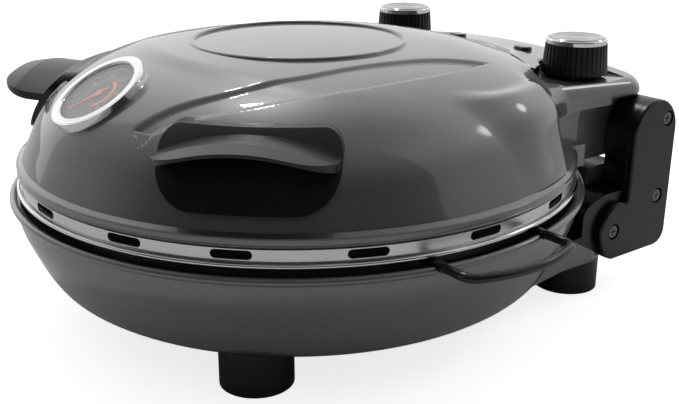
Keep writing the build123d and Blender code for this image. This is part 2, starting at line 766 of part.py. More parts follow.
def block_solid():
    """Block that carries the right arm, standing on the bowl's extension."""
    with BuildPart() as block:
        with BuildSketch(side(BLOCK_INNER_X)):
            with BuildLine():
                Line((112, TAIL_SIDE_TOP), (146, ARM_BOTTOM))
                Polyline((146, ARM_BOTTOM), (ARM_REAR - 12, ARM_BOTTOM), (ARM_REAR - 0.5, ARM_BOTTOM + 12),
                         (ARM_REAR - 0.5, BASE_BLOCK_TOP), (BLOCK_FRONT + 22, BASE_BLOCK_TOP))
                Spline((BLOCK_FRONT + 22, BASE_BLOCK_TOP), (BLOCK_FRONT + 9, 60), (BLOCK_FRONT, 50),
                       tangents=[(-1, 0), (0, -1)])
                Polyline((BLOCK_FRONT, 50), (BLOCK_FRONT, TAIL_SIDE_TOP), (112, TAIL_SIDE_TOP))
            make_face()
        extrude(amount=ARM_SPLIT_X - BLOCK_INNER_X)
        front = block.edges().filter_by(Axis.Z).sort_by(Axis.X)[-4:].sort_by(Axis.Y)[0]
        fillet(front, 4)
    return block.part


block_form = block_solid()
block_pair = [block_form, mirror(block_form, about=MIRROR)]
bowl_outer = bowl_solid(0)

with BuildPart() as right_ear:
    with BuildSketch(side(EAR_X)):
        with BuildLine():
            Line((143, TAIL_TOP - 1), (143, 64))
            RadiusArc((143, 64), (154, 75), 11)
            Polyline((154, 75), (170, 75), (170, TAIL_TOP - 1), (143, TAIL_TOP - 1))
        make_face()
    extrude(amount=EAR_W)
ears = [right_ear.part, mirror(right_ear.part, about=MIRROR)]

with BuildPart() as bowl_shell:
    add(bowl_outer)
    add(tail_solid(0))
    add(bowl_solid(SHEET), mode=Mode.SUBTRACT)
    add(tail_solid(SHEET), mode=Mode.SUBTRACT)
    # rolled lip
    with BuildSketch(section):
        with Locations((LIP_R - LIP_ROLL, LIP_Z)):
            Circle(LIP_ROLL)
        with BuildLine():
            Polyline((164, 70), (165.5, 71.2), (165.8, 74), (164.2, 74), close=True)
        make_face()
    revolve(axis=cooking_axis)
    add(ears)
    add(block_pair, mode=Mode.SUBTRACT)
    # notches where the pan's wire handles cross the lip
    for hand in (1, -1):
        for end in (1, -1):
            with BuildSketch(Plane(origin=(hand * 150, AXIS_Y + end * WIRE_HALF, WIRE_Z),
                                   x_dir=(0, 1, 0), z_dir=(hand, 0, 0))):
                Circle(WIRE_R + 0.4)
                with Locations((0, 6)):
                    Rectangle(2 * WIRE_R + 0.8, 12)
            extrude(amount=25, mode=Mode.SUBTRACT)
    # holes for the element's ends, the gland and the foot screws
    with BuildSketch(across(120, LOWER_HEATER_Z)):
        with Locations((HEATER_LEG, 0), (-HEATER_LEG, 0)):
            Circle(HEATER_R + 0.2)
    extrude(amount=-29, mode=Mode.SUBTRACT)
    with BuildSketch(across(TAIL_REAR - 8)):
        with Locations((GLAND_X, GLAND_Z)):
            Circle(GLAND_R)
    extrude(amount=-20, mode=Mode.SUBTRACT)
    with BuildSketch(level(15)):
        with Locations(*FOOT_SPOTS):
            Circle(2)
    extrude(amount=16, mode=Mode.SUBTRACT)
save(bowl_shell.part, "bowl_shell")

with BuildPart() as base_plate:
    with BuildSketch(level(BOWL_BOTTOM - 2)):
        Circle(98)
    extrude(amount=1.2)
    with BuildSketch(level(BOWL_BOTTOM - 0.8)):
        Circle(90)
        Circle(84, mode=Mode.SUBTRACT)
    extrude(amount=0.8)
save(base_plate.part, "base_plate")

LINER_BASE = [(164.5, 70), (163.4, 68), (161.4, 60), (157, 48), (153, 40), (147.5, 31.5),
              (137, LINER_FLOOR), (0, LINER_FLOOR)]
with BuildPart() as bowl_liner:
    add(turned_sheet(LINER_BASE, -THIN))
    with BuildSketch(across(120, LOWER_HEATER_Z)):
        with Locations((HEATER_LEG, 0), (-HEATER_LEG, 0)):
            Circle(HEATER_R + 0.2)
    extrude(amount=-40, mode=Mode.SUBTRACT)
save(bowl_liner.part, "bowl_liner")

with BuildPart() as lower_clips:
    with BuildSketch(level(LINER_FLOOR + THIN)):
        with PolarLocations(HEATER_LOOP_R, 3, start_angle=10):
            Rectangle(9, 5)
    extrude(amount=LOWER_HEATER_Z + 5 - LINER_FLOOR - THIN)
    add(lower_heater, mode=Mode.SUBTRACT)
save(lower_clips.part, "lower_clips")

# ---- pan, wire handles and stone ----------------------------------------
with BuildPart() as right_wire:
    with BuildLine(level(WIRE_Z)) as wire_path:
        Line((WIRE_INNER, -WIRE_HALF), (WIRE_ENDS, -WIRE_HALF))
        ThreePointArc((WIRE_ENDS, -WIRE_HALF), (WIRE_REACH, 0), (WIRE_ENDS, WIRE_HALF))
        Line((WIRE_ENDS, WIRE_HALF), (WIRE_INNER, WIRE_HALF))
        fillet(wire_path.vertices(), 8)
    with BuildSketch(wire_path.line ^ 0):
        Circle(WIRE_R)
    sweep(path=wire_path.line)
save_pair(right_wire.part, "wire_handle")
wires = [right_wire.part, mirror(right_wire.part, about=MIRROR)]

PAN = [(156.4, 77), (155.8, 70), (152.6, 54.6), (150.8, STONE_BOTTOM - THIN), (0, STONE_BOTTOM - THIN)]
with BuildPart() as stone_pan:
    add(turned_sheet(PAN, -THIN))
    add(wires, mode=Mode.SUBTRACT)
save(stone_pan.part, "stone_pan")

with BuildPart() as pizza_stone:
    with BuildSketch(level(STONE_BOTTOM)):
        Circle(STONE_R)
    extrude(amount=STONE_H)
    chamfer(pizza_stone.edges(), 1.2)
save(pizza_stone.part, "pizza_stone")

# ---- feet ---------------------------------------------------------------
tail_outer = tail_solid(0)
screw_solids = []
for name, (x, y) in FEET.items():
    with BuildPart() as foot:
        with BuildSketch(level(0)):
            with Locations((x, y)):
                Circle(FOOT_R)
        extrude(amount=45)
        with BuildSketch(level(0)):
            with Locations((x, y)):
                Circle(5)
        extrude(amount=8, mode=Mode.SUBTRACT)
        add([bowl_outer, tail_outer, *block_pair], mode=Mode.SUBTRACT)
        with BuildSketch(level(0)):
            with Locations((x, y)):
                Circle(2)
        extrude(amount=45, mode=Mode.SUBTRACT)
    pieces = foot.part.solids().sort_by(Axis.Z)
    save(pieces[0], name)
    with BuildPart() as screw:
        with BuildSketch(level(4)):
            with Locations((x, y)):
                Circle(4)
        extrude(amount=4)
        with BuildSketch(level(8)):
            with Locations((x, y)):
                Circle(2)
        extrude(amount=17)
    screw_solids += screw.part.solids()
save(Compound(children=screw_solids), "foot_screws")

# ---- hinge blocks, arms, covers, pins ------------------------------------
with BuildPart() as right_hinge_base:
    add(block_form)
    add(bowl_outer, mode=Mode.SUBTRACT)
    add(screw_solids, mode=Mode.SUBTRACT)


def arm_screws():
    """Three screws through the right cover: bright heads in round recesses."""
    with BuildPart() as screws:
        with BuildSketch(side(ARM_OUTER_X - 2.4)):
            with Locations(*ARM_SCREWS):
                Circle(3.8)
        extrude(amount=1.8)
        with BuildSketch(side(ARM_OUTER_X - 2.4)):
            with Locations(*ARM_SCREWS):
                Circle(1.8)
        extrude(amount=-10)
    return screws.part


with BuildPart() as hinge_pin:
    with BuildSketch(side(PIN_INNER_X)):
        with Locations((PIVOT_Y, PIVOT_Z)):
            Circle(PIN_R)
    extrude(amount=ARM_SPLIT_X - PIN_INNER_X)
save_pair(hinge_pin.part, "hinge_pin")
right_arm_screws = arm_screws()

arm_mid = (ARM_FRONT + ARM_REAR) / 2
arm_half = (ARM_REAR - ARM_FRONT) / 2
with BuildPart() as right_arm:
    with BuildSketch(side(ARM_INNER_X)):
        with BuildLine():
            Line((ARM_FRONT, BASE_BLOCK_TOP), (ARM_REAR, BASE_BLOCK_TOP))
            Line((ARM_REAR, BASE_BLOCK_TOP), (ARM_REAR, PIVOT_Z))
            CenterArc((arm_mid, PIVOT_Z), arm_half, 0, 180)
            Line((ARM_FRONT, PIVOT_Z), (ARM_FRONT, BASE_BLOCK_TOP))
        make_face()
    extrude(amount=ARM_SPLIT_X - ARM_INNER_X)
    add(hinge_pin.part, mode=Mode.SUBTRACT)
    add(right_arm_screws, mode=Mode.SUBTRACT)
save_pair(right_arm.part, "arm")

right_hinge_base.part = right_hinge_base.part - right_arm_screws
save_pair(right_hinge_base.part, "hinge_base")

with BuildPart() as right_cover:
    with BuildSketch(side(ARM_SPLIT_X)):
        with BuildLine():
            CenterArc((arm_mid, PIVOT_Z), arm_half, 0, 180)
            Line((ARM_REAR, PIVOT_Z), (ARM_REAR, ARM_BOTTOM + 10))
            CenterArc((ARM_REAR - 10, ARM_BOTTOM + 10), 10, 0, -90)
            Line((ARM_REAR - 10, ARM_BOTTOM), (148, ARM_BOTTOM))
            Spline((148, ARM_BOTTOM), (137, 28), (133, 41), (138, 51.5), (150, 57), (ARM_FRONT, 68),
                   tangents=[(-1, 0.1), (0, 1)])
            Line((ARM_FRONT, 68), (ARM_FRONT, PIVOT_Z))
        make_face()
    extrude(amount=ARM_OUTER_X - ARM_SPLIT_X)
    chamfer(right_cover.faces().sort_by(Axis.X)[-1].edges(), 1.0)
    with BuildSketch(side(ARM_OUTER_X - 2.4)):
        with Locations(*ARM_SCREWS):
            Circle(5)
    extrude(amount=5, mode=Mode.SUBTRACT)
    add(right_arm_screws, mode=Mode.SUBTRACT)
save_pair(right_cover.part, "arm_cover")
save(Compound(children=[*right_arm_screws.solids(), *mirror(right_arm_screws, about=MIRROR).solids()]),
     "arm_screws")

# ---- cord gland -----------------------------------------------------------
with BuildPart() as cord_gland:
    with BuildSketch(across(TAIL_REAR - 3)):
        with Locations((GLAND_X, GLAND_Z)):
            Circle(GLAND_R)
    extrude(amount=-15)
    with BuildSketch(across(TAIL_REAR)):
        with Locations((GLAND_X, GLAND_Z)):
            Circle(GLAND_R + 2)
    extrude(amount=-3)
    with BuildSketch(across(TAIL_REAR - 6)):
        with Locations((GLAND_X, GLAND_Z)):
            Circle(3.5)
    extrude(amount=-20, mode=Mode.SUBTRACT)
save(cord_gland.part, "cord_gland")
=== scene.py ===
import json
import math

import bmesh
import bpy
import numpy as np
from mathutils import Matrix, Vector


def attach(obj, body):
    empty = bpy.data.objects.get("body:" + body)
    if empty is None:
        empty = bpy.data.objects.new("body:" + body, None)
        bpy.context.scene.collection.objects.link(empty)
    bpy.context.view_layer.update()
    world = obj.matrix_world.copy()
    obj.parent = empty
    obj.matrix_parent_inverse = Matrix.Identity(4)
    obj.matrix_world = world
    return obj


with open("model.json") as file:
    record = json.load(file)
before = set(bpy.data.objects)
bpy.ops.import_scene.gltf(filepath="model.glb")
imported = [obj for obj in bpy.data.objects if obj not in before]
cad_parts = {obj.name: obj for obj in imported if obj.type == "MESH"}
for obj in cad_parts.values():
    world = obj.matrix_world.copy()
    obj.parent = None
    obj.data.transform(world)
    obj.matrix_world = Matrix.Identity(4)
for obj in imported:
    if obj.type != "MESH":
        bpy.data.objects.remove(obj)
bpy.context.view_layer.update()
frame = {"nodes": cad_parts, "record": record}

scene = bpy.context.scene


def mm(*values):
    """Millimetres to metres."""
    return tuple(value / 1000 for value in values)


# ---- places shared with the solids, in mm from the cooking axis --------------
AXIS_Y = -14.0           # the cooking axis stands in front of the frame's origin
GAUGE_TILT = math.radians(31.6)
GAUGE_Y, GAUGE_Z = -125.7, 140.0
GAUGE_SPOT = (0, AXIS_Y + GAUGE_Y, GAUGE_Z)
KNOB_X, KNOB_Y, KNOB_TOP = 80.7, 150.4, 151.4


# ---- material helpers ------------------------------------------------------
class Nodes:
    """A short way to wire one procedural material."""

    def __init__(self, name):
        self.material = bpy.data.materials.new(name)
        self.material.use_nodes = True
        self.tree = self.material.node_tree
        self.shader = self.tree.nodes["Principled BSDF"]

    def add(self, kind, **inputs):
        node = self.tree.nodes.new(kind)
        for key, value in inputs.items():
            socket = key.replace("_", " ")
            if socket in node.inputs:
                node.inputs[socket].default_value = value
            else:
                setattr(node, key, value)
        return node

    def link(self, source, target):
        self.tree.links.new(source, target)

    def coordinates(self, scale=(1, 1, 1)):
        """Object coordinates in metres, stretched by a scale."""
        place = self.add("ShaderNodeTexCoord")
        mapping = self.add("ShaderNodeMapping")
        mapping.inputs["Scale"].default_value = scale
        self.link(place.outputs["Object"], mapping.inputs["Vector"])
        return mapping.outputs["Vector"]

    def noise(self, scale, detail=2.0, rough=0.5, vector=None):
        texture = self.add("ShaderNodeTexNoise")
        texture.inputs["Scale"].default_value = scale
        texture.inputs["Detail"].default_value = detail
        texture.inputs["Roughness"].default_value = rough
        self.link(self.coordinates() if vector is None else vector, texture.inputs["Vector"])
        return texture.outputs["Fac"]

    def ramp(self, source, low, high, start=0.3, end=0.7):
        """Colour between low and high as a value goes from start to end."""
        band = self.add("ShaderNodeValToRGB")
        band.color_ramp.elements[0].position = start
        band.color_ramp.elements[1].position = end
        band.color_ramp.elements[0].color = (*low, 1)
        band.color_ramp.elements[1].color = (*high, 1)
        self.link(source, band.inputs["Fac"])
        return band.outputs["Color"]

    def spread(self, source, low, high):
        """Number between low and high, as a value goes from one quarter to three quarters."""
        span = self.add("ShaderNodeMapRange")
        limits = {"From Min": 0.25, "From Max": 0.75, "To Min": low, "To Max": high}
        for socket, value in limits.items():
            span.inputs[socket].default_value = value
        self.link(source, span.inputs["Value"])
        return span.outputs["Result"]

    def bump(self, source, distance, strength=1.0, after=None):
        """Normal of a relief of some metres, laid over the normal that comes before it."""
        node = self.add("ShaderNodeBump")
        node.inputs["Strength"].default_value = strength
        node.inputs["Distance"].default_value = distance
        self.link(source, node.inputs["Height"])
        if after is not None:
            self.link(after, node.inputs["Normal"])
        return node.outputs["Normal"]

    def rounded(self, radius):
        """Edges that shade as if rounded to a radius in metres."""
        return self.add("ShaderNodeBevel", Radius=radius, samples=4).outputs["Normal"]

    def set(self, **values):
        """Constants on the shader's own sockets, and links for anything that varies."""
        for key, value in values.items():
            socket = self.shader.inputs[key.replace("_", " ")]
            if isinstance(value, bpy.types.NodeSocket):
                self.link(value, socket)
            else:
                socket.default_value = value


def grey(value, warmth=0.0):
    """A grey, with its red raised and its blue lowered by the warmth."""
    return (value * (1 + warmth), value, value * (1 - warmth))


def enamel_paint():
    """Metallic grey enamel under a clear glossy coat."""
    mat = Nodes("enamel_paint")
    flakes = mat.noise(2600, 1.0)
    clouds = mat.noise(9, 2.0)
    color = mat.ramp(flakes, grey(0.15), grey(0.2), 0.35, 0.65)
    mat.set(Base_Color=color, Metallic=0.85, Coat_Weight=1.0, Coat_Roughness=0.03, Coat_IOR=1.6)
    mat.set(Roughness=mat.spread(clouds, 0.4, 0.46))
    peel = mat.bump(mat.noise(420, 2.0), 0.00002, 0.35, mat.rounded(0.0012))
    mat.set(Normal=mat.bump(flakes, 0.000012, 0.25, peel))
    return mat.material


def ringed_steel(name, value, low, high):
    """Steel with fine lines that run round the appliance."""
    mat = Nodes(name)
    lines = mat.noise(1.0, 3.0, 0.6, mat.coordinates((60, 60, 9000)))
    color = mat.ramp(lines, grey(value * 0.86), grey(value))
    mat.set(Base_Color=color, Metallic=1.0, Roughness=mat.spread(lines, low, high))
    mat.set(Normal=mat.bump(lines, 0.00001, 0.3))
    return mat.material


def bright_chrome():
    """Polished plating with faint smudges."""
    mat = Nodes("bright_chrome")
    smudge = mat.noise(60, 3.0)
    mat.set(Base_Color=mat.ramp(smudge, grey(0.78), grey(0.86)), Metallic=1.0,
            Roughness=mat.spread(smudge, 0.05, 0.11))
    return mat.material


def moulded_black(name, value=0.004, low=0.26, high=0.34, grain=1800, shine=0.5):
    """Black plastic with a fine moulded grain."""
    mat = Nodes(name)
    texture = mat.noise(grain, 2.0)
    wear = mat.noise(26, 3.0)
    mat.set(Base_Color=mat.ramp(wear, grey(value * 0.85), grey(value * 1.25)),
            Roughness=mat.spread(wear, low, high), IOR=1.48, Specular_IOR_Level=shine)
    mat.set(Normal=mat.bump(texture, 0.00006, 0.35, mat.rounded(0.0007)))
    return mat.material


def signal_print(name, color):
    """Bright printing ink on the dial and its needle."""
    mat = Nodes(name)
    tone = mat.noise(700, 2.0)
    mat.set(Base_Color=mat.ramp(tone, tuple(0.8 * part for part in color), color),
            Roughness=mat.spread(tone, 0.4, 0.5))
    return mat.material


MIX_A, MIX_B, MIX_RESULT = 6, 7, 2   # the colour sockets of a mix node


def baked_stone():
    """Sand-coloured stone: fine grit over pale blotches."""
    mat = Nodes("baked_stone")
    grit = mat.noise(900, 4.0, 0.7)
    blotch = mat.noise(30, 4.0, 0.6)
    mix = mat.add("ShaderNodeMix")
    mix.data_type = "RGBA"
    mat.link(mat.ramp(blotch, (0.52, 0.43, 0.31), (0.66, 0.58, 0.45)), mix.inputs[MIX_A])
    mat.link(mat.ramp(grit, (0.45, 0.38, 0.29), (0.72, 0.65, 0.53)), mix.inputs[MIX_B])
    mat.set(Base_Color=mix.outputs[MIX_RESULT], Roughness=0.9, Normal=mat.bump(grit, 0.0003, 0.6))
    return mat.material


def clear_glass():
    """Thin clear glass with a trace of smear."""
    mat = Nodes("clear_glass")
    smear = mat.noise(40, 2.0)
    mat.set(Base_Color=(1, 1, 1, 1), Roughness=mat.spread(smear, 0.0, 0.02), IOR=1.45)
    mat.set(Transmission_Weight=1.0)
    return mat.material


def dark_lens():
    """Dark unlit plastic of the two lights."""
    mat = Nodes("dark_lens")
    ribs = mat.noise(500, 1.0)
    mat.set(Base_Color=mat.ramp(ribs, grey(0.012), grey(0.03)), Coat_Weight=0.6,
            Roughness=mat.spread(ribs, 0.12, 0.2))
    return mat.material


def heater_sheath():
    """Dull oxidised tube of a heating element."""
    mat = Nodes("heater_sheath")
    scale = mat.noise(220, 4.0, 0.6)
    mat.set(Base_Color=mat.ramp(scale, grey(0.10, 0.05), grey(0.2, 0.03)), Metallic=0.9,
            Roughness=mat.spread(scale, 0.4, 0.6), Normal=mat.bump(scale, 0.00005, 0.4))
    return mat.material


def dial_print():
    """Dark printed face of the thermometer."""
    mat = Nodes("dial_print")
    tone = mat.noise(90, 2.0)
    mat.set(Base_Color=mat.ramp(tone, grey(0.05), grey(0.075)), Roughness=mat.spread(tone, 0.45, 0.55))
    return mat.material


paint = enamel_paint()
brushed = ringed_steel("brushed_ring_steel", 0.72, 0.2, 0.34)
plain_steel = ringed_steel("plain_sheet_steel", 0.62, 0.24, 0.38)
chrome = bright_chrome()
black = moulded_black("moulded_black")
knob_black = moulded_black("knob_grip_black", 0.005, 0.28, 0.38, 900, 0.5)
wire_black = moulded_black("wire_coat_black", 0.006, 0.14, 0.24, 500, 0.6)
orange_ink = signal_print("orange_ink", (0.9, 0.25, 0.09))
pale_ink = signal_print("pale_ink", (0.42, 0.45, 0.42))
dark_steel = ringed_steel("dark_screw_steel", 0.16, 0.2, 0.3)
finishes = {
    "paint": paint, "brushed": brushed, "chrome": chrome, "bright_steel": plain_steel,
    "black_plastic": black, "knob_black": knob_black, "clear_glass": clear_glass(),
    "dial_face": dial_print(), "needle_black": orange_ink, "lamp_lens": dark_lens(),
    "heater_sheath": heater_sheath(), "wire_coat": wire_black, "stone": baked_stone(),
}
slots = {entry["node"]: entry["material_slot"] for entry in frame["record"]["subparts"]}
for name, node in frame["nodes"].items():
    for slot in node.material_slots:
        slot.material = dark_steel if name == "arm_screws" else finishes[slots[name]]


# ---- pieces ----------------------------------------------------------------
def piece(name, verts, faces, body, slot, material, smooth=True):
    """A mesh that rides on a body and takes a finish."""
    mesh = bpy.data.meshes.new(name)
    mesh.from_pydata(verts, [], faces)
    mesh.validate()
    for face in mesh.polygons:
        face.use_smooth = smooth
    mesh.materials.append(material)
    obj = bpy.data.objects.new(name, mesh)
    scene.collection.objects.link(obj)
    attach(obj, body)
    return obj


def lathe(profile, spot, tilt=0.0, count=180, start=0.0, sweep=360.0):
    """Rings of a (radius, height) profile in mm about an axis; a tilt leans it towards the front."""
    verts, faces = [], []
    turn = Matrix.Translation(mm(*spot)) @ Matrix.Rotation(tilt, 4, "X")
    closed = sweep == 360.0
    for n in range(count + (not closed)):
        angle = math.radians(start + sweep * n / count)
        for r, z in profile:
            verts.append(turn @ Vector(mm(r * math.cos(angle), r * math.sin(angle), z)))
    size = len(profile)
    for n in range(count):
        here, after = n * size, ((n + 1) % count if closed else n + 1) * size
        for k in range(size - 1):
            faces.append((here + k, after + k, after + k + 1, here + k + 1))
    return verts, faces


PLATE_SIDES = ((4, 5, 6, 7), (0, 1, 5, 4), (1, 2, 6, 5), (2, 3, 7, 6), (3, 0, 4, 7))


def plate_faces(start):
    """Top and sides of a thin plate whose four lower corners come before its four upper ones."""
    return [tuple(start + corner for corner in side) for side in PLATE_SIDES]


# ---- lid skin: dome and deck run into each other, with softened flutes -------
# Curves are in mm; the dome's is (radius, height), the others are plans (across, depth).
DOME = [(0, 155.2), (66, 153.6), (87, 151.6), (106, 147.6), (125, 139.8), (140, 129.6),
        (149.5, 118.0), (155.5, 106.0), (160.5, 95.0)]
HOOD = [(100, -50), (118, -22), (126, 4), (133.5, 34), (124.5, 74), (111, 112), (111, 150)]
FLUTE_INNER = [(47, -130.5), (53, -112), (63, -90), (69, -70), (73, -50), (74, -25), (76, 5), (79, 32),
               (89, 70)]
FLUTE_OUTER = [(60, -125.5), (68, -112), (77, -98), (86, -81), (93, -63), (99, -44), (103, -10), (102, 18),
               (89, 70)]
FLUTE_FRONT, FLUTE_REAR = -130, 70
FLUTE_DEPTH = 1.8
FLUTE_START = 0.2        # how far inside its outline a flute starts to sink
FLUTE_SHOULDER = 3.0     # and how far inside it has its full depth
DECK_HALF = 111.0
DECK_REAR = 190.0
DECK_CORNER = 20.0       # radius of the deck's rear corners in plan
DECK_ROUND = 9.0         # radius of the deck's upper edges
DECK_SLOPE = math.tan(math.radians(4))
CROWN_TOP = 137.0
CROWN_DEPTH = 150.0      # the depth at which the deck's middle is at that height
CROWN_DROP = 8.5         # how much lower the deck's edges are than its middle
CROWN_RADIUS = (DECK_HALF ** 2 + CROWN_DROP ** 2) / (2 * CROWN_DROP)
PLAN_MIDDLE = 60.0       # depth of the place from which the deck's plan is seen
TOP_BLEND = 16.0         # reach of the run between dome and deck on top
TOP_LEAST = 0.4          # the share of it that is left in front
TOP_GROWS = (10, 80)     # the depths between which it grows
FLANK_BLEND = 30.0       # reach of the run between dome and deck on the flanks
FLANK_BAND = (-16, -2)   # distances from the deck's edge between which the flank takes over
FLANK_GROWS = (0, 50)    # the depths between which it grows
REAR_BAND = (-30, -6)    # distances from the deck's edge that the fade at the back acts on
REAR_FADES = (74, 96)    # the depths between which the run fades
REAR_FADE = 0.85         # the share of it that goes
KNOB_CLEAR = (24, 42)    # distances from a knob's axis between which the run comes in
KNOB_HOLE = 22.8         # radius of the skin's opening round a knob
KNOB_SNAP = 1.6          # edges this near the opening are moved onto it
GAUGE_HOLE = 25.6
WELL_PLAN = [(61.5, 143.0), (86.5, 104.5), (102.0, 101.0), (107.0, 112.0), (107.0, 171.0)]
POCKET_HALF = 101.0      # the arm pockets lie further out than this,
POCKET_Y = 77.0          # further back than this
POCKET_Z = 119.2         # and lower than this
SKIN_PROUD = 0.12        # how far the skin stands off the solid sheet
SKIN_RIM = 95.4
SKIN_REAR = 151.0
SKIN_LIP = 4.0           # how far the skin's edges are turned down
POCKET_LIP = 8.0         # how far its edges in front of the pockets are turned in


def smooth_curve(points, count=1500, ends=None):
    """Samples of a smooth curve through the points; ends are its directions there."""
    points = np.array(points, dtype=float)
    steps = np.hypot(*np.diff(points, axis=0).T)
    t = np.concatenate(([0], np.cumsum(steps)))
    size = len(t)
    matrix, right = np.zeros((size, size)), np.zeros((size, 2))
    for n in range(1, size - 1):
        before, after = steps[n - 1], steps[n]
        matrix[n, n - 1:n + 2] = after, 2 * (before + after), before
        right[n] = 3 * (after * (points[n] - points[n - 1]) / before
                        + before * (points[n + 1] - points[n]) / after)
    if ends:
        matrix[0, 0] = matrix[-1, -1] = 1
        right[0] = np.array(ends[0]) / np.hypot(*ends[0])
        right[-1] = np.array(ends[1]) / np.hypot(*ends[1])
    else:
        matrix[0, :2] = 2, 1
        matrix[-1, -2:] = 1, 2
        right[0] = 3 * (points[1] - points[0]) / steps[0]
        right[-1] = 3 * (points[-1] - points[-2]) / steps[-1]
    slope = np.linalg.solve(matrix, right)
    at = np.linspace(0, t[-1], count)
    span = np.clip(np.searchsorted(t, at, side="right") - 1, 0, size - 2)
    width = (t[span + 1] - t[span])[:, None]
    u = (at - t[span])[:, None] / width
    return ((2 * u ** 3 - 3 * u ** 2 + 1) * points[span] + (u ** 3 - 2 * u ** 2 + u) * width * slope[span]
            + (3 * u ** 2 - 2 * u ** 3) * points[span + 1] + (u ** 3 - u ** 2) * width * slope[span + 1])


def soft_step(value, low, high):
    """Rises smoothly from 0 to 1 as a value goes from low to high."""
    t = np.clip((value - low) / (high - low), 0, 1)
    return t * t * (3 - 2 * t)


def blend_max(first, second, reach):
    """The larger of two numbers, rounded where they are within reach of each other."""
    near = np.maximum(reach - np.abs(first - second), 0) / reach
    return np.maximum(first, second) + near ** 2 * reach / 4


dome_line = smooth_curve(DOME, ends=((1, 0), (0.4, -1)))
dome_slope = np.gradient(dome_line[:, 1]) / np.gradient(dome_line[:, 0])
hood_line = smooth_curve(HOOD, 500)
corner_x, corner_y = DECK_HALF - DECK_CORNER, DECK_REAR - DECK_CORNER
corner = [(corner_x + DECK_CORNER * math.cos(a), corner_y + DECK_CORNER * math.sin(a))
          for a in np.linspace(0, math.pi / 2, 40)]
plan = np.vstack((hood_line, corner, [(0, DECK_REAR)]))
plan_turn = np.arctan2(plan[:, 1] - PLAN_MIDDLE, plan[:, 0])
plan_reach = np.hypot(plan[:, 0], plan[:, 1] - PLAN_MIDDLE)
plan_lean = 1 / np.sqrt(1 + (np.gradient(plan_reach) / np.gradient(plan_turn) / plan_reach) ** 2)


def outline_distance(x, y):
    """Distance outside the deck's plan, negative inside; x is never negative here."""
    turn, reach = np.arctan2(y - PLAN_MIDDLE, x), np.hypot(x, y - PLAN_MIDDLE)
    return (reach - np.interp(turn, plan_turn, plan_reach)) * np.interp(turn, plan_turn, plan_lean)


def by_depth(points):
    """A smooth curve's samples from front to back, as depths and places across."""
    curve = smooth_curve(points, 200)
    return curve[np.argsort(curve[:, 1])].T[::-1]


flute_inner, flute_outer = by_depth(FLUTE_INNER), by_depth(FLUTE_OUTER)


def flute_sink(x, y):
    """How far the flutes are sunk at a place on the lid."""
    inside = np.minimum(x - np.interp(y, *flute_inner), np.interp(y, *flute_outer) - x)
    sunk = soft_step(inside, FLUTE_START, FLUTE_SHOULDER)
    return FLUTE_DEPTH * sunk * ((y > FLUTE_FRONT) & (y < FLUTE_REAR))


def dome_depth(r, z):
    """Depth below the dome's surface, roughly square to it; negative above it."""
    top = np.interp(r, dome_line[:, 0], dome_line[:, 1])
    slope = np.interp(r, dome_line[:, 0], dome_slope)
    last_r, last_z = DOME[-1]
    top = np.where(r > last_r, last_z + (r - last_r) * slope, top)
    return (top - z) / np.sqrt(1 + slope ** 2)


def deck_depth(x, y, z, side):
    """Depth below the deck's surface, whose upper edges are round; side is outline_distance."""
    drop = CROWN_RADIUS - np.sqrt(CROWN_RADIUS ** 2 - x ** 2)
    roof = z - (CROWN_TOP - drop + (CROWN_DEPTH - y) * DECK_SLOPE)
    out, over = side + DECK_ROUND, roof + DECK_ROUND
    beyond = np.hypot(np.maximum(out, 0), np.maximum(over, 0))
    return -(beyond + np.minimum(np.maximum(out, over), 0) - DECK_ROUND)


def blend_reach(x, y, side):
    """How widely dome and deck run into each other at a place."""
    reach = TOP_BLEND * (TOP_LEAST + (1 - TOP_LEAST) * soft_step(y, *TOP_GROWS))
    reach = reach + (FLANK_BLEND - reach) * soft_step(side, *FLANK_BAND) * soft_step(y, *FLANK_GROWS)
    reach = reach * (1 - REAR_FADE * soft_step(side, *REAR_BAND) * soft_step(y, *REAR_FADES))
    knob = np.hypot(x - KNOB_X, y - KNOB_Y)
    return 1 + (reach - 1) * soft_step(knob, *KNOB_CLEAR)


def lid_depth(x, y, z):
    """Depth below the lid's surface, roughly square to it; negative above it."""
    x = np.abs(x)
    side = outline_distance(x, y)
    dome, deck = dome_depth(np.hypot(x, y), z), deck_depth(x, y, z, side)
    return blend_max(dome, deck, blend_reach(x, y, side)) - flute_sink(x, y)


SKIN_MIDDLE = (0.0, 20.0, 66.0)      # where the rays that find the skin start
RAY_LEAST, RAY_MOST = 20.0, 240.0    # the distances between which they meet it
RAY_HALVINGS = 17
RAY_BATCHES = 12
LOWEST_RAY = math.radians(9)


def lid_points(columns, rows):
    """Grid of points where rays from inside the lid meet its surface; right half, top to rim."""
    heading = np.linspace(-math.pi / 2, math.pi / 2, columns)
    rise = np.linspace(math.pi / 2, LOWEST_RAY, rows)
    turn, climb = np.meshgrid(heading, rise, indexing="ij")
    ray = np.stack((np.cos(turn) * np.cos(climb), np.sin(turn) * np.cos(climb), np.sin(climb)), axis=-1)
    ray = ray.reshape(-1, 3)
    middle = np.array(SKIN_MIDDLE)
    low, high = np.full(len(ray), RAY_LEAST), np.full(len(ray), RAY_MOST)
    for _ in range(RAY_HALVINGS):
        t = (low + high) / 2
        parts = np.array_split(middle + ray * t[:, None], RAY_BATCHES)
        inside = np.concatenate([lid_depth(*part.T) for part in parts]) > 0
        low, high = np.where(inside, t, low), np.where(inside, high, t)
    return (middle + ray * ((low + high) / 2)[:, None]).reshape(columns, rows, 3)


def in_well(x, y):
    """True over the sunk pad round a knob."""
    x = np.abs(x)
    inside = np.hypot(x - KNOB_X, y - KNOB_Y) < KNOB_HOLE
    wing = np.ones_like(inside)
    for (ax, ay), (bx, by) in zip(WELL_PLAN, WELL_PLAN[1:]):
        wing &= (bx - ax) * (y - ay) - (by - ay) * (x - ax) > 0
    return inside | wing


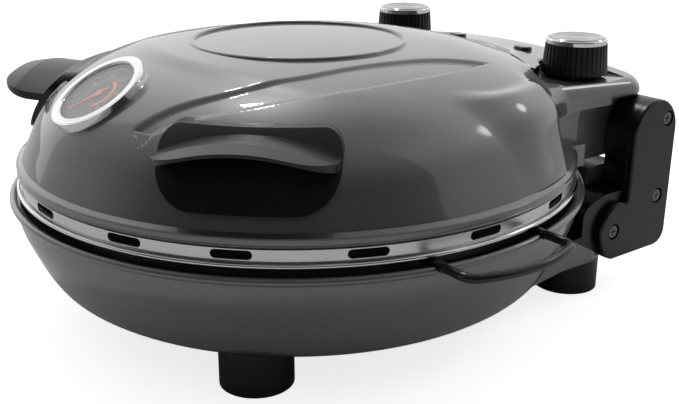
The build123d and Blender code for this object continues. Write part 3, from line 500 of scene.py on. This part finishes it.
def away_from_holes(x, y, z):
    """True where the skin is kept: clear of gauge, knob wells, arm pockets, rim and the deck's rear."""
    up = (0, -math.sin(GAUGE_TILT), math.cos(GAUGE_TILT))
    across = np.stack((x, y - GAUGE_Y, z - GAUGE_Z), axis=-1)
    height = across @ np.array(up)
    off_gauge = np.sqrt(np.maximum((across ** 2).sum(-1) - height ** 2, 0)) > GAUGE_HOLE
    off_pocket = (np.abs(x) < POCKET_HALF) | (y < POCKET_Y) | (z > POCKET_Z)
    return off_gauge & ~in_well(x, y) & off_pocket & (z > SKIN_RIM) & (y < SKIN_REAR)


def build_skin():
    """The whole skin before it is cut, as vertices and faces for both halves."""
    grid = lid_points(441, 200)
    normal = np.cross(np.gradient(grid, axis=0), np.gradient(grid, axis=1))
    normal /= np.maximum(np.linalg.norm(normal, axis=-1, keepdims=True), 1e-9)
    outwards = np.sign((normal * (grid - SKIN_MIDDLE)).sum(-1, keepdims=True))
    normal = normal * outwards
    normal[:, 0] = (0, 0, 1)
    grid = grid + normal * SKIN_PROUD
    columns, rows = grid.shape[:2]
    verts, faces = [], []
    for hand in (1, -1):
        start = len(verts)
        verts += [mm(hand * x, y + AXIS_Y, z) for x, y, z in grid.reshape(-1, 3)]
        for i in range(columns - 1):
            for j in range(rows - 1):
                here = start + i * rows + j
                corners = [here, here + 1, here + rows + 1, here + rows]
                faces.append(corners if hand > 0 else corners[::-1])
    return verts, faces


SKIN_BACK = 90.0                     # planes further back than this, in mm, cut the back only:
BACK_FACES, BACK_EDGES = 0.07, 0.06  # faces and edges further back than these, in metres
SAME_POINT = 0.00002                 # corners this near each other are one, in metres
ON_PLANE = 0.00001                   # and corners this near a plane lie on it


def cut_skin(work):
    """Splits the skin's faces along the rim, the pockets' sides and the knob wells' straight sides."""
    cuts = [((0, 0, SKIN_RIM), (0, 0, 1)), ((0, POCKET_Y, 0), (0, 1, 0)),
            ((0, 0, POCKET_Z), (0, 0, 1)), ((0, SKIN_REAR, 0), (0, 1, 0))]
    for (ax, ay), (bx, by) in zip(WELL_PLAN[:3], WELL_PLAN[1:]):
        cuts += [((hand * ax, ay, 0), (hand * (by - ay), ax - bx, 0)) for hand in (1, -1)]
    for (x, y, z), across in cuts:
        whole = y < SKIN_BACK
        near = [f for f in work.faces if whole or f.calc_center_median().y > BACK_FACES]
        near += [e for e in work.edges if whole or e.verts[0].co.y > BACK_EDGES]
        bmesh.ops.bisect_plane(work, geom=near + work.verts[:], dist=ON_PLANE,
                               plane_co=mm(x, y + AXIS_Y, z), plane_no=across)


def turn_edges_in(work):
    """Rounds the openings at the knobs and turns the skin's edges in, all but the rim's."""
    lowest = (SKIN_RIM + 1) / 1000
    edges = [e for e in work.edges if e.is_boundary and min(v.co.z for v in e.verts) > lowest]
    hole, snap = mm(KNOB_HOLE, KNOB_SNAP)
    for vert in {v for e in edges for v in e.verts}:
        middle = Vector(mm(math.copysign(KNOB_X, vert.co.x), KNOB_Y + AXIS_Y))
        away = vert.co.xy - middle
        if abs(away.length - hole) < snap:
            vert.co.xy = middle + away.normalized() * hole
    half, front, top = mm(POCKET_HALF, POCKET_Y + AXIS_Y + 0.5, POCKET_Z - 0.5)
    down, inwards = mm(SKIN_LIP, POCKET_LIP)
    for vert in bmesh.ops.extrude_edge_only(work, edges=edges)["geom"]:
        if not isinstance(vert, bmesh.types.BMVert):
            continue
        if abs(vert.co.x) > half and vert.co.y < front and vert.co.z < top:
            vert.co.x -= math.copysign(inwards, vert.co.x)
        else:
            vert.co.z -= down


def trim_skin(obj):
    """Cuts the skin cleanly round the rim, pockets and knob wells, and turns its edges in."""
    work = bmesh.new()
    work.from_mesh(obj.data)
    bmesh.ops.remove_doubles(work, verts=work.verts, dist=SAME_POINT)
    cut_skin(work)
    middles = np.array([f.calc_center_median() for f in work.faces]) * 1000
    keep = away_from_holes(middles[:, 0], middles[:, 1] - AXIS_Y, middles[:, 2])
    gone = [face for face, kept in zip(work.faces, keep) if not kept]
    bmesh.ops.delete(work, geom=gone, context="FACES")
    bmesh.ops.delete(work, geom=[v for v in work.verts if not v.link_faces], context="VERTS")
    bmesh.ops.recalc_face_normals(work, faces=work.faces)
    turn_edges_in(work)
    for face in work.faces:
        face.smooth = True
    work.to_mesh(obj.data)
    work.free()


skin = piece("lid_skin", *build_skin(), "lid", "paint", paint)
trim_skin(skin)


RING_RADIUS = 62.1
RING_HEIGHT = 1.5
RING_HALF_WIDTH = 0.95
RING_BAND = np.linspace(57.0, 67.0, 41)
RING_PROUD = 0.03        # how far its band stands off the skin
RING_DIP = 0.25          # how far the band's two edges dip into it


def top_ring():
    """The embossed ring on the dome: a round crest on a thin band whose edges dip into the skin."""
    profile = []
    for r in RING_BAND:
        crest = RING_HEIGHT * math.exp(-((r - RING_RADIUS) / RING_HALF_WIDTH) ** 2)
        dip = RING_DIP if r in (RING_BAND[0], RING_BAND[-1]) else 0.0
        dome = float(np.interp(r, dome_line[:, 0], dome_line[:, 1]))
        profile.append((float(r), dome + SKIN_PROUD + RING_PROUD + crest - dip))
    return lathe(profile, (0, AXIS_Y, 0), count=240)


piece("top_ring", *top_ring(), "lid", "paint", paint)


# ---- thermometer's dial, in mm from the gauge's place and axis -------------------
DIAL_FACE = -1.6
INK = 0.08               # thickness of the dial's print
PRINT_LOW, PRINT_HIGH = DIAL_FACE + 0.01, DIAL_FACE + INK
FIRST_TICK, LAST_TICK = 215.0, -35.0
TICKS = 50
NUMBERS = 5
TICK_OUTER = 20.6
MAJOR_TICK = (17.2, 0.5)             # inner end and width of a tick at a number
MINOR_TICK = (18.6, 0.25)
NUMBER_RADIUS = 14.6
NUMBER_SIZE = 3.4
on_gauge = Matrix.Translation(mm(*GAUGE_SPOT)) @ Matrix.Rotation(GAUGE_TILT, 4, "X")


def tick_angle(share):
    """Angle from the dial's right at a share of its scale, in degrees."""
    return FIRST_TICK + (LAST_TICK - FIRST_TICK) * share


def printed_bar(angle, inner, width):
    """Corners of a thin bar on the dial, along a radius out to the scale's edge."""
    turn = math.radians(angle)
    along = Vector((math.cos(turn), math.sin(turn), 0))
    aside = Vector((-math.sin(turn), math.cos(turn), 0)) * width / 2
    plan = [along * inner - aside, along * TICK_OUTER - aside,
            along * TICK_OUTER + aside, along * inner + aside]
    return [corner + Vector((0, 0, level)) for level in (PRINT_LOW, PRINT_HIGH) for corner in plan]


def dial_scale():
    """The ring of ticks, longer ones at the numbers."""
    verts, faces = [], []
    for n in range(TICKS + 1):
        tick = MINOR_TICK if n % (TICKS // NUMBERS) else MAJOR_TICK
        faces += plate_faces(len(verts))
        verts += printed_bar(tick_angle(n / TICKS), *tick)
    return [on_gauge @ (vert / 1000) for vert in verts], faces


def printed_ring(inner, outer, start, sweep, count):
    """A thin printed arc on the dial."""
    profile = [(inner, PRINT_LOW), (inner, PRINT_HIGH), (outer, PRINT_HIGH), (outer, PRINT_LOW)]
    return lathe(profile, GAUGE_SPOT, GAUGE_TILT, count, start, sweep)


piece("dial_scale", *dial_scale(), "lid", "dial_face", pale_ink, smooth=False)
piece("dial_hot_band", *printed_ring(8.2, 10.6, -60, 150, 60), "lid", "dial_face", orange_ink, smooth=False)
piece("dial_inner_line", *printed_ring(12.0, 12.3, LAST_TICK, FIRST_TICK - LAST_TICK, 90),
      "lid", "dial_face", pale_ink, smooth=False)
for number in range(NUMBERS + 1):
    angle = math.radians(tick_angle(number / NUMBERS))
    figure = bpy.data.curves.new(f"dial_number_{number}", "FONT")
    figure.body = str(100 * number)
    figure.size, figure.extrude = mm(NUMBER_SIZE, INK / 2)
    figure.align_x, figure.align_y = "CENTER", "CENTER"
    figure.materials.append(pale_ink)
    label = bpy.data.objects.new(f"dial_number_{number}", figure)
    scene.collection.objects.link(label)
    place = (NUMBER_RADIUS * math.cos(angle), NUMBER_RADIUS * math.sin(angle), PRINT_HIGH)
    label.matrix_world = on_gauge @ Matrix.Translation(mm(*place))
    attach(label, "lid")
GASKET = [(21.9, 0.2), (21.9, -1.4), (21.2, -1.5), (20.9, -1.5), (20.9, -1.2), (21.5, 0.0)]
piece("dial_gasket", *lathe(GASKET, GAUGE_SPOT, GAUGE_TILT), "lid", "black_plastic", black)
BEZEL_TRIM = [(22.2, 1.3), (22.6, 1.95), (23.4, 2.15), (24.2, 1.95), (24.6, 1.88), (26.2, 1.88)]
piece("bezel_trim", *lathe(BEZEL_TRIM, GAUGE_SPOT, GAUGE_TILT), "lid", "chrome", chrome)

# ---- knob caps --------------------------------------------------------------
CAP_RELIEF = [(0, 0.5), (7.4, 0.45), (8.2, 0.1), (9.2, 0.05), (12.4, 0.05), (13.4, 0.5), (14.6, 0.95),
              (16.0, 0.9), (17.2, 0.3), (17.6, -0.4)]
cap_metal = ringed_steel("cap_metal", 0.5, 0.14, 0.22)
for name, hand in (("timer", 1), ("thermostat", -1)):
    spot = (hand * KNOB_X, KNOB_Y + AXIS_Y, KNOB_TOP)
    piece(f"{name}_cap_relief", *lathe(CAP_RELIEF, spot, count=96), f"{name}_dial", "chrome", cap_metal)

# ---- rim lines, and painted shade in the screws' cross slots ------------------
RIM_START, RIM_SWEEP = -227.0, 274.0
RIM_LINE_RADIUS = 163.55
RIM_LINE_SIZE = 0.55


def rim_line(height):
    """A thin raised line round the skirt, open at the back."""
    turns = [math.pi * k / 4 - math.pi / 2 for k in range(5)]
    bead = [(RIM_LINE_RADIUS + RIM_LINE_SIZE * math.cos(a), height + RIM_LINE_SIZE * math.sin(a))
            for a in turns]
    return lathe(bead, (0, AXIS_Y, 0), 0, 240, RIM_START, RIM_SWEEP)


piece("rim_line_upper", *rim_line(93.0), "lid", "paint", paint)
piece("rim_line_lower", *rim_line(89.6), "lid", "paint", paint)

SCREW_FACE = 124.95                  # how far out the screws' heads end
SCREWS = ((188.0, 104.0), (185.5, 54.5), (145.5, 39.0))
SLOT_HALF_LENGTH, SLOT_HALF_WIDTH = 2.4, 0.45
SLOT_LEVELS = (-0.05, 0.04)


def screw_slot_shade(hand):
    """Painted shade of the cross slots in the three screw heads of one arm cover: thin black bars laid on
    the heads.
    """
    verts, faces = [], []
    bars = ((SLOT_HALF_LENGTH, SLOT_HALF_WIDTH), (SLOT_HALF_WIDTH, SLOT_HALF_LENGTH))
    for depth, height in SCREWS:
        for along, up in bars:
            plan = [(-along, -up), (along, -up), (along, up), (-along, up)]
            faces += plate_faces(len(verts))
            verts += [mm(hand * (SCREW_FACE + level), depth + AXIS_Y + a, height + b)
                      for level in SLOT_LEVELS for a, b in plan]
    return verts, faces


for name, hand in (("right", 1), ("left", -1)):
    # painted shade: black bars stand in for the shadow inside each screw head's cross slot
    piece(f"{name}_screw_slot_shade", *screw_slot_shade(hand), "base", "black_plastic", black, smooth=False)

# ---- camera ----------------------------------------------------------------
PICTURE_WIDTH = 679
FOCAL_PX = 976.45        # focal length in pixels of the picture
CAMERA_SPOT = (0.47047, AXIS_Y / 1000 - 0.32260, 0.25441)        # in metres
CAMERA_TURN, CAMERA_DROP, CAMERA_ROLL = 53.1476, 19.4111, 0.0926  # in degrees
SENSOR = 36.0
camera_data = bpy.data.cameras.new("photo_camera")
camera_data.sensor_width = SENSOR
camera_data.lens = FOCAL_PX * SENSOR / PICTURE_WIDTH
camera_data.clip_start = 0.01
camera = bpy.data.objects.new("photo_camera", camera_data)
scene.collection.objects.link(camera)
camera.matrix_world = (Matrix.Translation(CAMERA_SPOT)
                       @ Matrix.Rotation(math.radians(CAMERA_TURN), 4, "Z")
                       @ Matrix.Rotation(math.radians(90 - CAMERA_DROP), 4, "X")
                       @ Matrix.Rotation(math.radians(CAMERA_ROLL), 4, "Z"))
scene.camera = camera

# ---- studio ----------------------------------------------------------------
scene.view_settings.view_transform = "Standard"


def soft_light(name, spot, aim, size, watts):
    """A square softbox that the camera doesn't see."""
    data = bpy.data.lights.new(name, "AREA")
    data.shape = "RECTANGLE"
    data.size = size
    data.size_y = size
    data.energy = watts
    lamp = bpy.data.objects.new(name, data)
    scene.collection.objects.link(lamp)
    lamp.location = spot
    lamp.rotation_euler = (Vector(aim) - Vector(spot)).to_track_quat("-Z", "Y").to_euler()
    lamp.visible_camera = False


soft_light("overhead_softbox", (-0.62, 0.18, 1.32), (0, 0, 0.1), 0.12, 3.0)


class Sky:
    """The studio round the object, as brightness by direction."""

    def __init__(self, world):
        world.use_nodes = True
        self.tree = world.node_tree
        place = self.tree.nodes.new("ShaderNodeTexCoord")
        self.direction = place.outputs["Generated"]
        self.background = self.tree.nodes["Background"]

    def math(self, kind, first, second):
        """Sum, product and the like of two values."""
        node = self.tree.nodes.new("ShaderNodeMath")
        node.operation = kind
        for socket, value in zip(node.inputs, (first, second)):
            if isinstance(value, bpy.types.NodeSocket):
                self.tree.links.new(value, socket)
            else:
                socket.default_value = value
        return node.outputs[0]

    def along(self, azimuth, elevation):
        """Cosine of the angle to a direction; azimuth runs from +X towards +Y."""
        turn, rise = math.radians(azimuth), math.radians(elevation)
        node = self.tree.nodes.new("ShaderNodeVectorMath")
        node.operation = "DOT_PRODUCT"
        node.inputs[1].default_value = (math.cos(turn) * math.cos(rise), math.sin(turn) * math.cos(rise),
                                        math.sin(rise))
        self.tree.links.new(self.direction, node.inputs[0])
        return node.outputs["Value"]

    def step(self, source, low, high, peak=1.0):
        """Rises smoothly from 0 to a peak as the source goes from low to high."""
        node = self.tree.nodes.new("ShaderNodeMapRange")
        node.interpolation_type = "SMOOTHSTEP"
        node.inputs["From Min"].default_value = low
        node.inputs["From Max"].default_value = high
        node.inputs["To Max"].default_value = peak
        self.tree.links.new(source, node.inputs["Value"])
        return node.outputs["Result"]

    def patch(self, azimuth, elevation, core, edge, peak):
        """A round soft patch, full within core degrees and gone beyond edge degrees."""
        return self.step(self.along(azimuth, elevation), math.cos(math.radians(edge)),
                         math.cos(math.radians(core)), peak)

    def total(self, parts):
        """All parts added up."""
        amount = parts[0]
        for part in parts[1:]:
            amount = self.math("ADD", amount, part)
        return amount


world = bpy.data.worlds.new("pale_studio")
scene.world = world
sky = Sky(world)
SKY_BASE = 0.03          # brightness that every direction has at least
WALL_MIDDLE = 114        # azimuth that the right wall reaches a quarter turn either side of
up = sky.along(0, 90)
wall_side = sky.step(sky.along(WALL_MIDDLE, 0), -0.01, 0.03)
below_ceiling = sky.step(up, 0.97, 0.75, 0.42)
studio = sky.total([
    sky.step(up, 0.45, 0.95, 0.3),                       # ceiling
    sky.patch(140, 5, 25, 75, 0.5),                      # bright backdrop behind the object
    sky.patch(-150, 15, 15, 55, 0.4),                    # left wall
    sky.math("MULTIPLY", wall_side, below_ceiling),      # right wall
    sky.patch(78, 35, 2, 7, 5.0),                        # window-like panel on the right wall
    SKY_BASE,
])
rays = sky.tree.nodes.new("ShaderNodeLightPath")
seen = sky.math("MAXIMUM", rays.outputs["Is Camera Ray"], rays.outputs["Is Transmission Ray"])
hidden = sky.math("SUBTRACT", 1.0, seen)
sky.tree.links.new(sky.math("ADD", seen, sky.math("MULTIPLY", hidden, studio)),
                   sky.background.inputs["Strength"])
sky.background.inputs["Color"].default_value = (1, 1, 1, 1)

FLOOR_HALF = 6
FLOOR_PLAN = ((-FLOOR_HALF, -FLOOR_HALF), (FLOOR_HALF, -FLOOR_HALF),
              (FLOOR_HALF, FLOOR_HALF), (-FLOOR_HALF, FLOOR_HALF))
floor_mesh = bpy.data.meshes.new("studio_floor")
floor_mesh.from_pydata([(x, y, 0) for x, y in FLOOR_PLAN], [], [(0, 1, 2, 3)])
floor = bpy.data.objects.new("studio_floor", floor_mesh)
scene.collection.objects.link(floor)
floor_paint = Nodes("pale_floor")
floor_paint.set(Base_Color=(0.9, 0.9, 0.9, 1), Roughness=0.7, Specular_IOR_Level=0.0)
floor_rays = floor_paint.add("ShaderNodeLightPath")
floor_paint.set(Emission_Color=(1, 1, 1, 1), Emission_Strength=floor_paint.spread(
    floor_rays.outputs["Is Camera Ray"], 0.0, 0.8))
floor_mesh.materials.append(floor_paint.material)
